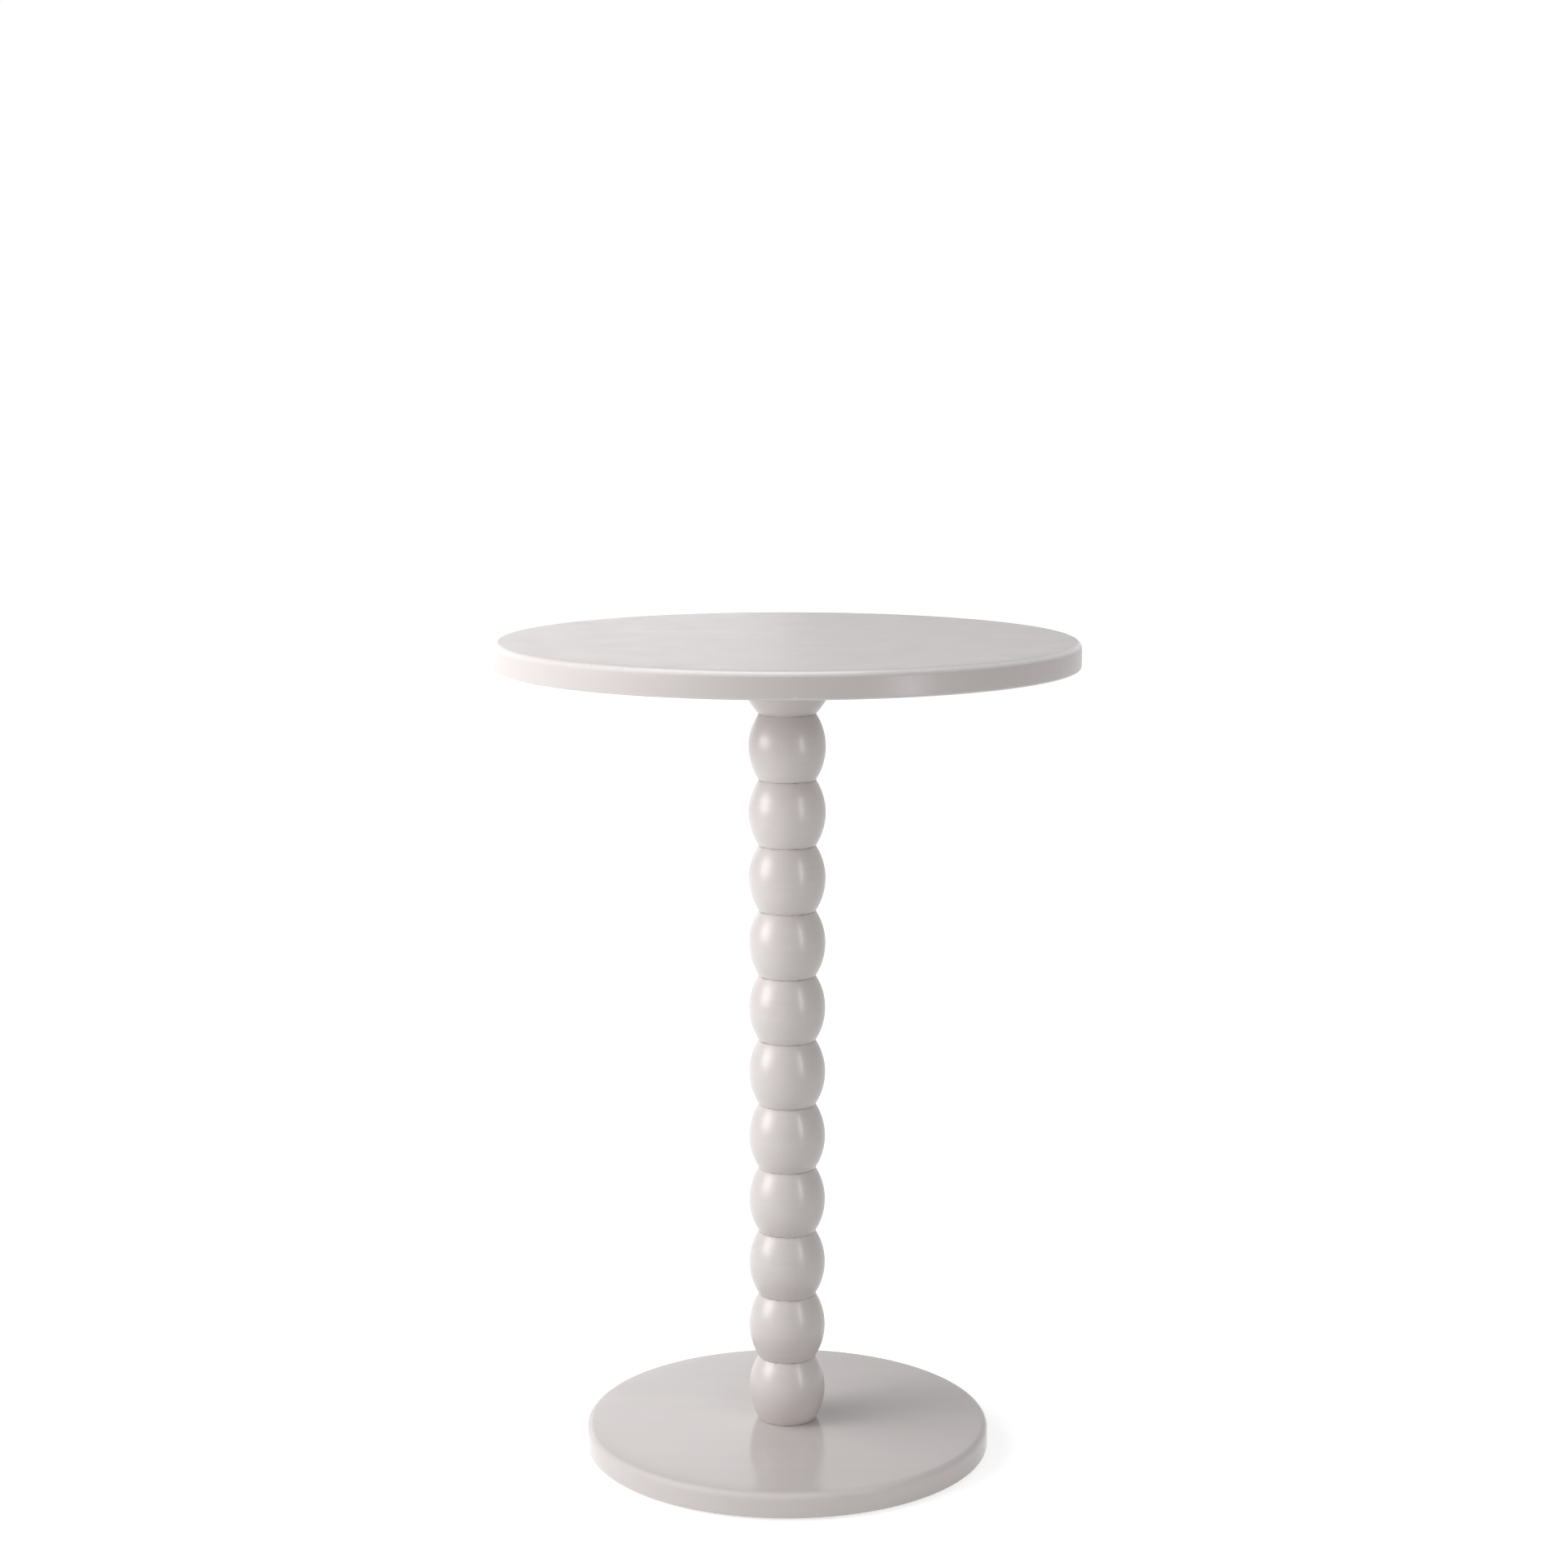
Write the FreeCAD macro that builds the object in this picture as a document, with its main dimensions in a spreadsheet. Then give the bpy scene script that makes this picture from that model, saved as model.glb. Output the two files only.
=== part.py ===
"""Bobbin wine table: a round top and a round base joined by a stem of turned beads on a steel tie rod.

The frame has +Z up along the stem, with its origin on the floor under the middle of the base.
From the floor upwards the pieces are felt pads, base, beads, collar and table top. A threaded rod runs
through the stem. It screws into a steel plate under the top and is drawn tight by a nut in the base.
"""

import FreeCAD
import Part
import Sketcher
import math
import os

OUTPUT_FOLDER = "parts"

# How a sketch numbers its axes, its origin and the points of a line or circle.
LEVEL_AXIS_INDEX = -1
UPRIGHT_AXIS_INDEX = -2
START_INDEX = 1
END_INDEX = 2
CENTRE_INDEX = 3
ORIGIN_INDICES = (LEVEL_AXIS_INDEX, START_INDEX)

HEXAGON_SIDES = 6
NUT_CORNER_SLOPE = math.radians(30)
HEXAGON_HALF_SIDE_ANGLE = math.pi / HEXAGON_SIDES
FULL_TURN = 360

# Driving dimensions in millimetres, and counts, in the order of the pieces from the floor upwards.
DRIVING_DIMENSIONS = {
    "pad_count": 4,
    "pad_diameter": 22,
    "pad_thickness": 2,
    "pad_inset": 24,
    "base_diameter": 248,
    "base_thickness": 15,
    "base_upper_round": 4,
    "base_lower_round": 1.5,
    "rod_diameter": 8,
    "rod_clearance": 0.4,
    "rod_end_setback": 0.5,
    "rod_end_chamfer": 0.8,
    "thread_clearance": 0.05,
    "washer_diameter": 24,
    "washer_thickness": 1.6,
    "washer_clearance": 0.2,
    "counterbore_clearance": 1,
    "lock_washer_diameter": 14.8,
    "lock_washer_thickness": 2,
    "lock_washer_slit": 1.2,
    "nut_across_flats": 13,
    "nut_height": 4,
    "nut_recess": 1,
    "bead_count": 11,
    "bead_height": 40,
    "bead_swell": 6,
    "neck_diameter": 34.6,
    "seam_round": 1.2,
    "collar_height": 29,
    "collar_flare": 11.5,
    "collar_rim": 5.5,
    "plate_clearance": 0.5,
    "plate_thickness": 2.5,
    "boss_wall": 2.8,
    "boss_length": 10,
    "boss_clearance": 0.5,
    "screw_count": 4,
    "screw_edge_distance": 7,
    "screw_diameter": 3.5,
    "screw_head_diameter": 7,
    "screw_point_length": 3,
    "screw_hole_clearance": 0.25,
    "pilot_clearance": 0.05,
    "pilot_extra_depth": 1,
    "pilot_cover": 4.5,
    "top_diameter": 350,
    "top_thickness": 16,
    "top_upper_round": 4,
    "top_lower_round": 1.5,
}


class Size:
    """A length that carries its number and the expression that gives it from the sheet."""

    def __init__(self, number, text):
        self.number = float(number)
        self.text = text

    def __float__(self):
        return self.number

    def joined(self, sign, other, number):
        other_text = other.text if isinstance(other, Size) else repr(other)
        return Size(number, f"({self.text} {sign} {other_text})")

    def __add__(self, other):
        return self.joined("+", other, self.number + float(other))

    def __sub__(self, other):
        return self.joined("-", other, self.number - float(other))

    def __mul__(self, other):
        return self.joined("*", other, self.number * float(other))

    def __truediv__(self, other):
        return self.joined("/", other, self.number / float(other))


def fill_sheet(document):
    """Writes the driving dimensions to a spreadsheet and returns a Size for each alias."""
    sheet = document.addObject("Spreadsheet::Sheet", "dims")
    sizes = {}
    for row, (alias, number) in enumerate(DRIVING_DIMENSIONS.items(), start=1):
        sheet.set(f"A{row}", alias)
        sheet.set(f"B{row}", str(number))
        sheet.setAlias(f"B{row}", alias)
        sizes[alias] = Size(number, f"dims.{alias}")
    document.recompute()
    return sizes


doc = FreeCAD.newDocument("bobbin_wine_table")
dim = fill_sheet(doc)

# Heights of the seats, worked out from the floor upwards.
base_bottom = dim["pad_thickness"]
stem_bottom = base_bottom + dim["base_thickness"]
stem_top = stem_bottom + dim["bead_count"] * dim["bead_height"]
top_bottom = stem_top + dim["collar_height"]
plate_bottom = top_bottom - dim["plate_thickness"]
nut_bottom = base_bottom + dim["nut_recess"]
lock_washer_bottom = nut_bottom + dim["nut_height"]
washer_bottom = lock_washer_bottom + dim["lock_washer_thickness"]
counterbore_depth = washer_bottom + dim["washer_thickness"] - base_bottom

# Radii that several pieces share.
neck_radius = dim["neck_diameter"] / 2
rod_radius = dim["rod_diameter"] / 2
bore_radius = rod_radius + dim["rod_clearance"]
thread_radius = rod_radius + dim["thread_clearance"]
washer_bore_radius = rod_radius + dim["washer_clearance"]
counterbore_radius = dim["washer_diameter"] / 2 + dim["counterbore_clearance"]
collar_radius = neck_radius + dim["collar_flare"]
plate_recess_radius = collar_radius - dim["collar_rim"]
plate_radius = plate_recess_radius - dim["plate_clearance"]
boss_radius = thread_radius + dim["boss_wall"]
screw_circle_radius = plate_radius - dim["screw_edge_distance"]
screw_radius = dim["screw_diameter"] / 2
screw_head_radius = dim["screw_head_diameter"] / 2

# The screws reach through the plate and leave some wood whole above their pilot holes.
screw_head_height = screw_head_radius - screw_radius
pilot_depth = dim["top_thickness"] - dim["pilot_cover"]
screw_length = dim["plate_thickness"] + pilot_depth - dim["pilot_extra_depth"]


def bind(thing, property_name, size):
    """Ties a property of a document object to the sheet."""
    thing.setExpression(property_name, size.text)


def raise_to(thing, height):
    """Stands an object at a height above the floor."""
    bind(thing, "Placement.Base.z", height)


def new_body(name):
    body = doc.addObject("PartDesign::Body", name)
    body.Label = name
    return body


def origin_feature(body, role):
    return next(feature for feature in body.Origin.OriginFeatures if feature.Role == role)


def new_sketch(body, name, plane):
    sketch = body.newObject("Sketcher::SketchObject", name)
    sketch.AttachmentSupport = [(origin_feature(body, plane), "")]
    sketch.MapMode = "FlatFace"
    return sketch


def add_dimension(sketch, kind, place, size):
    """Adds a driving dimension to a sketch and ties it to the sheet."""
    index = sketch.addConstraint(Sketcher.Constraint(kind, *place, float(size)))
    name = f"size_{index}"
    sketch.renameConstraint(index, name)
    bind(sketch, f"Constraints.{name}", size)


def fix_point(sketch, line, across, up):
    """Fixes the start of a line at two distances from the sketch's origin. None means on that axis."""
    line_start = (line, START_INDEX)
    if across is None:
        sketch.addConstraint(Sketcher.Constraint("PointOnObject", *line_start, UPRIGHT_AXIS_INDEX))
    else:
        add_dimension(sketch, "DistanceX", (*ORIGIN_INDICES, *line_start), across)
    if up is None:
        sketch.addConstraint(Sketcher.Constraint("PointOnObject", *line_start, LEVEL_AXIS_INDEX))
    else:
        add_dimension(sketch, "DistanceY", (*ORIGIN_INDICES, *line_start), up)


def plane_point(corner):
    across, up = (0.0 if part is None else float(part) for part in corner)
    return FreeCAD.Vector(across, up, 0)


def bulging_arc(start, end, radius):
    """The arc from start up to end that bulges away from the axis."""
    chord = end - start
    middle = (start + end) / 2
    outward = FreeCAD.Vector(chord.y, -chord.x, 0).normalize()
    rise = radius - math.sqrt(radius**2 - (chord.Length / 2) ** 2)
    return Part.Arc(start, middle + outward * rise, end)


def draw_outline(sketch, corners, arcs=None):
    """Draws a closed outline. Each corner is (across, up), and arcs gives the radius of a curved side."""
    arcs = arcs or {}
    points = [plane_point(corner) for corner in corners]
    sides = len(corners)
    for side in range(sides):
        start, end = points[side], points[(side + 1) % sides]
        if side in arcs:
            sketch.addGeometry(bulging_arc(start, end, float(arcs[side])))
        else:
            sketch.addGeometry(Part.LineSegment(start, end))
    for side in range(sides):
        next_start = ((side + 1) % sides, START_INDEX)
        sketch.addConstraint(Sketcher.Constraint("Coincident", side, END_INDEX, *next_start))
    for side, (across, up) in enumerate(corners):
        fix_point(sketch, side, across, up)
    for side, radius in arcs.items():
        add_dimension(sketch, "Radius", (side,), radius)


def draw_circle(sketch, radius):
    """Draws a circle round the sketch's origin."""
    upward = FreeCAD.Vector(0, 0, 1)
    circle = sketch.addGeometry(Part.Circle(FreeCAD.Vector(), upward, float(radius)))
    sketch.addConstraint(Sketcher.Constraint("Coincident", circle, CENTRE_INDEX, *ORIGIN_INDICES))
    add_dimension(sketch, "Radius", (circle,), radius)


def turn(body, name, corners, arcs=None, offset=None, feature="PartDesign::Revolution"):
    """Turns an outline about the upright axis, or about an axis that stands off by offset along X."""
    sketch = new_sketch(body, f"{name}_outline", "XZ_Plane")
    if offset is not None:
        bind(sketch, "AttachmentOffset.Base.x", offset)
    draw_outline(sketch, corners, arcs)
    turned = body.newObject(feature, f"{name}_turned")
    turned.Profile = sketch
    turned.ReferenceAxis = (sketch, ["V_Axis"])
    turned.Angle = FULL_TURN
    doc.recompute()
    return turned


def pad_rings(body, name, radii, length):
    """Pads a disc, or a ring between two radii, up from the body's XY plane."""
    sketch = new_sketch(body, f"{name}_outline", "XY_Plane")
    for radius in radii:
        draw_circle(sketch, radius)
    pad = body.newObject("PartDesign::Pad", f"{name}_pad")
    pad.Profile = sketch
    bind(pad, "Length", length)
    doc.recompute()
    return pad


def circular_edges(feature, radius, height):
    """Names of a feature's circular edges of this radius at this height in its body."""
    names = []
    for number, edge in enumerate(feature.Shape.Edges, start=1):
        if not isinstance(edge.Curve, Part.Circle):
            continue
        same_radius = math.isclose(edge.Curve.Radius, float(radius), abs_tol=1e-6)
        same_height = math.isclose(edge.Curve.Center.z, float(height), abs_tol=1e-6)
        if same_radius and same_height:
            names.append(f"Edge{number}")
    return names


def dress_edge(body, kind, feature, edges, size):
    """Fillets or chamfers edges of a feature."""
    dressed = body.newObject(f"PartDesign::{kind}", f"{body.Name}_{kind}".lower())
    dressed.Base = (feature, edges)
    bind(dressed, "Radius" if kind == "Fillet" else "Size", size)
    doc.recompute()
    return dressed


def repeat_round(body, name, feature, count):
    """Repeats a feature evenly round the body's upright axis."""
    pattern = body.newObject("PartDesign::PolarPattern", name)
    pattern.Originals = [feature]
    pattern.Axis = (origin_feature(body, "Z_Axis"), [""])
    pattern.Angle = FULL_TURN
    bind(pattern, "Occurrences", count)
    body.Tip = pattern
    doc.recompute()


def make_felt_pads():
    """Discs of felt under the base, spread evenly near its rim."""
    circle_radius = dim["base_diameter"] / 2 - dim["pad_inset"]
    count = int(float(dim["pad_count"]))
    pads = []
    for number in range(count):
        pad = doc.addObject("Part::Cylinder", f"felt_pad_{number + 1}")
        pad.Label = pad.Name
        bind(pad, "Radius", dim["pad_diameter"] / 2)
        bind(pad, "Height", dim["pad_thickness"])
        turn_angle = f"({number} + 0.5) * {FULL_TURN} deg / {dim['pad_count'].text}"
        pad.setExpression("Placement.Base.x", f"{circle_radius.text} * cos({turn_angle})")
        pad.setExpression("Placement.Base.y", f"{circle_radius.text} * sin({turn_angle})")
        pads.append(pad)
    return pads


def make_disc(name, diameter, thickness, upper_round, lower_round):
    """A round board with eased edges."""
    body = new_body(name)
    radius = diameter / 2
    board = pad_rings(body, name, [radius], thickness)
    upper = dress_edge(body, "Fillet", board, circular_edges(board, radius, thickness), upper_round)
    dress_edge(body, "Fillet", upper, circular_edges(upper, radius, 0), lower_round)
    return body


def make_base():
    """The foot of the table, bored for the rod and counterbored from below for the nut."""
    body = make_disc(
        "base",
        dim["base_diameter"],
        dim["base_thickness"],
        dim["base_upper_round"],
        dim["base_lower_round"],
    )
    raise_to(body, base_bottom)
    centre = new_sketch(body, "base_hole_centre", "XY_Plane")
    draw_circle(centre, bore_radius)
    hole = body.newObject("PartDesign::Hole", "base_rod_hole")
    hole.Profile = centre
    doc.recompute()
    hole.Reversed = True
    hole.DepthType = "ThroughAll"
    hole.HoleCutType = "Counterbore"
    hole.HoleCutCustomValues = True
    bind(hole, "Diameter", bore_radius * 2)
    bind(hole, "HoleCutDiameter", counterbore_radius * 2)
    bind(hole, "HoleCutDepth", counterbore_depth)
    doc.recompute()
    return body


def make_washer():
    """The wide flat washer at the top of the counterbore."""
    body = new_body("base_washer")
    pad_rings(body, "base_washer", [dim["washer_diameter"] / 2, washer_bore_radius], dim["washer_thickness"])
    raise_to(body, washer_bottom)
    return body


def make_lock_washer():
    """The split spring washer, drawn flat by the nut."""
    body = new_body("lock_washer")
    outer_radius = dim["lock_washer_diameter"] / 2
    pad_rings(body, "lock_washer", [outer_radius, washer_bore_radius], dim["lock_washer_thickness"])
    slit = new_sketch(body, "lock_washer_slit_outline", "XY_Plane")
    half_slit = dim["lock_washer_slit"] / 2
    far_side = half_slit * -1
    corners = [(None, far_side), (outer_radius, far_side), (outer_radius, half_slit), (None, half_slit)]
    draw_outline(slit, corners)
    cut = body.newObject("PartDesign::Pocket", "lock_washer_slit")
    cut.Profile = slit
    cut.Type = "ThroughAll"
    cut.Reversed = True
    raise_to(body, lock_washer_bottom)
    doc.recompute()
    return body


def make_nut():
    """The thin hexagon nut, with its corners turned off on both faces."""
    height = dim["nut_height"]
    flat_radius = dim["nut_across_flats"] / 2
    corner_radius = flat_radius / math.cos(HEXAGON_HALF_SIDE_ANGLE)
    corner_drop = (corner_radius - flat_radius) * math.tan(NUT_CORNER_SLOPE)
    hexagon = doc.addObject("Part::Prism", "nut_hexagon")
    hexagon.Polygon = HEXAGON_SIDES
    bind(hexagon, "Circumradius", corner_radius)
    bind(hexagon, "Height", height)
    envelope = new_body("nut_envelope")
    turn(
        envelope,
        "nut_envelope",
        [
            (thread_radius, None),
            (flat_radius, None),
            (corner_radius, corner_drop),
            (corner_radius, height - corner_drop),
            (flat_radius, height),
            (thread_radius, height),
        ],
    )
    nut = doc.addObject("Part::Common", "base_nut")
    nut.Label = nut.Name
    nut.Base = hexagon
    nut.Tool = envelope
    raise_to(nut, nut_bottom)
    doc.recompute()
    return nut


def make_tie_rod():
    """The threaded rod, drawn at its outer thread diameter, from the nut to the plate under the top."""
    body = new_body("tie_rod")
    rod_bottom = base_bottom + dim["rod_end_setback"]
    length = top_bottom - dim["rod_end_setback"] - rod_bottom
    rod = pad_rings(body, "tie_rod", [rod_radius], length)
    ends = circular_edges(rod, rod_radius, 0) + circular_edges(rod, rod_radius, length)
    dress_edge(body, "Chamfer", rod, ends, dim["rod_end_chamfer"])
    raise_to(body, rod_bottom)
    return body


def make_bead(number):
    """One turned bead: a barrel with one long arc for its side and flat seats that meet its neighbours."""
    name = f"bead_{number:02d}"
    body = new_body(name)
    height = dim["bead_height"]
    swell = dim["bead_swell"]
    side_radius = ((height / 2) * (height / 2) + swell * swell) / (swell * 2)
    corners = [(bore_radius, None), (neck_radius, None), (neck_radius, height), (bore_radius, height)]
    barrel_side = 1
    barrel = turn(body, name, corners, {barrel_side: side_radius})
    seats = circular_edges(barrel, neck_radius, 0) + circular_edges(barrel, neck_radius, height)
    dress_edge(body, "Fillet", barrel, seats, dim["seam_round"])
    raise_to(body, stem_bottom + height * (number - 1))
    return body


def make_collar():
    """The half bead under the top, which swells from the stem's neck and hides the steel plate."""
    body = new_body("collar")
    height = dim["collar_height"]
    flare = dim["collar_flare"]
    side_radius = (height * height + flare * flare) / (flare * 2)
    recess_floor = height - dim["plate_thickness"]
    boss_hole_floor = recess_floor - dim["boss_length"] - dim["boss_clearance"]
    boss_hole_radius = boss_radius + dim["boss_clearance"]
    corners = [
        (bore_radius, None),
        (neck_radius, None),
        (collar_radius, height),
        (plate_recess_radius, height),
        (plate_recess_radius, recess_floor),
        (boss_hole_radius, recess_floor),
        (boss_hole_radius, boss_hole_floor),
        (bore_radius, boss_hole_floor),
    ]
    bowl_side = 1
    bowl = turn(body, "collar", corners, {bowl_side: side_radius})
    dress_edge(body, "Fillet", bowl, circular_edges(bowl, neck_radius, 0), dim["seam_round"])
    raise_to(body, stem_top)
    return body


def make_top_plate():
    """The steel plate under the top, with a tapped boss for the rod and countersunk screw holes."""
    body = new_body("top_plate")
    thickness = dim["plate_thickness"]
    boss_bottom = dim["boss_length"] * -1
    turn(
        body,
        "top_plate",
        [
            (thread_radius, boss_bottom),
            (boss_radius, boss_bottom),
            (boss_radius, None),
            (plate_radius, None),
            (plate_radius, thickness),
            (thread_radius, thickness),
        ],
    )
    hole_radius = screw_radius + dim["screw_hole_clearance"]
    sink_radius = screw_head_radius + dim["screw_hole_clearance"]
    hole = turn(
        body,
        "top_plate_screw_hole",
        [
            (None, None),
            (sink_radius, None),
            (hole_radius, screw_head_height),
            (hole_radius, screw_length),
            (None, screw_length),
        ],
        offset=screw_circle_radius,
        feature="PartDesign::Groove",
    )
    repeat_round(body, "top_plate_screw_holes", hole, dim["screw_count"])
    raise_to(body, plate_bottom)
    return body


def make_top_plate_screws():
    """The countersunk wood screws that hold the plate to the top, heads downwards."""
    body = new_body("top_plate_screws")
    screw = turn(
        body,
        "top_plate_screw",
        [
            (None, None),
            (screw_head_radius, None),
            (screw_radius, screw_head_height),
            (screw_radius, screw_length - dim["screw_point_length"]),
            (None, screw_length),
        ],
        offset=screw_circle_radius,
    )
    repeat_round(body, "top_plate_screw_ring", screw, dim["screw_count"])
    raise_to(body, plate_bottom)
    return body


def make_table_top():
    """The round top, with blind pilot holes underneath that follow the plate's screws."""
    body = make_disc(
        "table_top",
        dim["top_diameter"],
        dim["top_thickness"],
        dim["top_upper_round"],
        dim["top_lower_round"],
    )
    pilot_radius = screw_radius + dim["pilot_clearance"]
    sink_radius = screw_head_radius + dim["pilot_clearance"]
    plate_face = dim["plate_thickness"] * -1
    pilot = turn(
        body,
        "table_top_pilot_hole",
        [
            (None, plate_face),
            (sink_radius, plate_face),
            (pilot_radius, plate_face + screw_head_height),
            (pilot_radius, pilot_depth),
            (None, pilot_depth),
        ],
        offset=screw_circle_radius,
        feature="PartDesign::Groove",
    )
    repeat_round(body, "table_top_pilot_holes", pilot, dim["screw_count"])
    raise_to(body, top_bottom)
    return body


def make_stem():
    """The beads, numbered from the base upwards."""
    return [make_bead(number) for number in range(1, int(float(dim["bead_count"])) + 1)]


def check_document(pieces):
    """Stops the build if an object failed or a piece is not made of valid closed solids."""
    for thing in doc.Objects:
        if "Invalid" in thing.State or "Error" in thing.State:
            raise RuntimeError(f"{thing.Name} failed: {thing.State}")
    for piece in pieces:
        shape = piece.Shape
        if shape.isNull() or not shape.isValid() or not shape.Solids:
            raise RuntimeError(f"{piece.Label} has no valid solid")


def write_pieces(pieces):
    """Writes each piece to a STEP file named after it."""
    os.makedirs(OUTPUT_FOLDER, exist_ok=True)
    for piece in pieces:
        piece.Shape.exportStep(os.path.join(OUTPUT_FOLDER, f"{piece.Label}.step"))
        print(f"{piece.Label}: {len(piece.Shape.Solids)} solids, {piece.Shape.Volume / 1000:.2f} cm3")


pieces = [
    *make_felt_pads(),
    make_base(),
    make_nut(),
    make_lock_washer(),
    make_washer(),
    make_tie_rod(),
    *make_stem(),
    make_collar(),
    make_top_plate(),
    make_top_plate_screws(),
    make_table_top(),
]
doc.recompute()
check_document(pieces)
write_pieces(pieces)
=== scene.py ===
"""Looks of the bobbin wine table: a stem of painted turned beads between a round top and a round base.

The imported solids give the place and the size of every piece. Lengths are in metres, with +Z up.
"""

import bmesh
import bpy
import math
from mathutils import Euler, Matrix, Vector, noise


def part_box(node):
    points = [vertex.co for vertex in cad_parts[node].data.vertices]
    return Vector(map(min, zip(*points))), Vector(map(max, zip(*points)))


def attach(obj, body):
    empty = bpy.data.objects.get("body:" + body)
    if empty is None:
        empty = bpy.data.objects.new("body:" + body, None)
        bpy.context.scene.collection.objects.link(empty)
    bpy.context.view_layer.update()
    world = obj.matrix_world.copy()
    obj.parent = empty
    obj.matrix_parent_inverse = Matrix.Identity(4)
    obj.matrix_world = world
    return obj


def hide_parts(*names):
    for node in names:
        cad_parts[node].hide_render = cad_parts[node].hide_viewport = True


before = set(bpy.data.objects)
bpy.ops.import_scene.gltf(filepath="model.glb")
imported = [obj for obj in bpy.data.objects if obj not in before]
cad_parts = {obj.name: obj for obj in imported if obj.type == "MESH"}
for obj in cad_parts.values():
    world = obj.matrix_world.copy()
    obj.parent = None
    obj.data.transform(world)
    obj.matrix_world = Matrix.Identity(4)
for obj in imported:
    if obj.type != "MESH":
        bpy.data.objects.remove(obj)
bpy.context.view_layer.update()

MM = 0.001
QUARTER_TURN = math.pi / 2
BODY = "root"

# Sizes of the turned pieces that their boxes don't give.
NECK_RADIUS = 17.3 * MM
SEAM_ROUND = 0.6 * MM
SEAM_SLOPE = math.radians(62)
BORE_RADIUS = 4.4 * MM
SEAM_REACH = 1.0 * MM
BOARD_UPPER_ROUND = 4.0 * MM
BOARD_LOWER_ROUND = 1.5 * MM
COUNTERBORE_RADIUS = 13.0 * MM
COLLAR_RIM = 5.5 * MM
PLATE_RECESS = 2.5 * MM
BOSS_HOLE_RADIUS = 7.35 * MM
PLATE_GAP = 0.5 * MM
ROD_END_CHAMFER = 0.8 * MM
THREAD_PITCH = 1.25 * MM
THREAD_DEPTH = 0.62 * MM
THREADED_END = 26 * MM
ROD_HOLE_RADIUS = 4.2 * MM
NUT_BORE_RADIUS = 4.05 * MM
NUT_CHAMFER_SLOPE = math.tan(math.radians(30))
NUT_FACE_SHARE = 0.95
NUT_SINK = 0.6 * MM
LOCK_WASHER_SLIT = 1.2 * MM
LOCK_WASHER_SLANT = 0.7
LOCK_WASHER_EASE = 0.25 * MM
WASHER_EDGE = 0.3 * MM

# Unevenness of the turned wood and of the paint that runs ragged along the seams: how far it goes, how fine
# it is round a turn and upwards, and how fast the ragged paint fades away from a seam.
TURNING_SWAY = 0.08 * MM
SWAY_ROUND = 0.8
SWAY_UPWARD = 30
RAGGED_INWARD = 0.3 * MM
RAGGED_ALONG = 0.35 * MM
RAGGED_ROUND = 16
RAGGED_FALL = 24
RAGGED_SEED = 9

# The felt pads: how far the rim draws in at its foot, low, high and at its head, and how uneven they are.
PAD_FOOT = 0.35 * MM
PAD_LOW = 0.1 * MM
PAD_HIGH = 0.08 * MM
PAD_HEAD = 0.2 * MM
PAD_RAGGED = 0.28 * MM
PAD_RAGGED_ROUND = 9
PAD_RAGGED_UPWARD = 700
PAD_RAGGED_FALL = 8
PAD_LIFT = 0.12 * MM
PAD_LIFT_ROUND = 4
PAD_LIFT_OUTWARD = 600
PAD_FLAT_SHARE = 0.96

# How finely the pieces are meshed.
BEAD_SEGMENTS = 192
BOARD_SEGMENTS = 320
STEEL_SEGMENTS = 96
PAD_SEGMENTS = 120
FLOOR_SEGMENTS = 96
SEAT_STEPS = 3
SEAM_STEPS = 5
BEAD_SIDE_STEPS = 34
COLLAR_SIDE_STEPS = 30
BOARD_LOWER_STEPS = 8
BOARD_UPPER_STEPS = 14
TOP_RINGS = 16
BASE_RINGS = 12
WASHER_EDGE_STEPS = 5
NUT_CHAMFER_STEPS = 10
NUT_SIDE_STEPS = 4
ROD_STEPS = 8
RINGS_PER_PITCH = 6
PAD_LOWER_RINGS = 12
PAD_UPPER_RINGS = 8
SMOOTH_ANGLE = math.radians(38)

# The photograph's camera, worked out from the outlines of the table.
CAMERA_LENS_MM = 66.27
CAMERA_SENSOR_MM = 36.0
CAMERA_PLACE = (-1.94 * MM, -1714.06 * MM, 674.84 * MM)
CAMERA_DOWNWARD_DEGREES = 8.645


def box_sizes(node):
    """Bottom height, top height and outer radius of a round node."""
    low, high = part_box(node)
    return low.z, high.z, (high.x - low.x) / 2


def arc(centre, radius, start, end, steps):
    """Points along an arc of an outline, from one angle to another in radians."""
    points = []
    for step in range(steps + 1):
        angle = start + (end - start) * step / steps
        points.append((centre[0] + radius * math.cos(angle), centre[1] + radius * math.sin(angle)))
    return points


def spread(start, end, steps):
    """Points along a straight stretch of an outline, without its last point."""
    return [
        (start[0] + (end[0] - start[0]) * step / steps, start[1] + (end[1] - start[1]) * step / steps)
        for step in range(steps)
    ]


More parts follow.
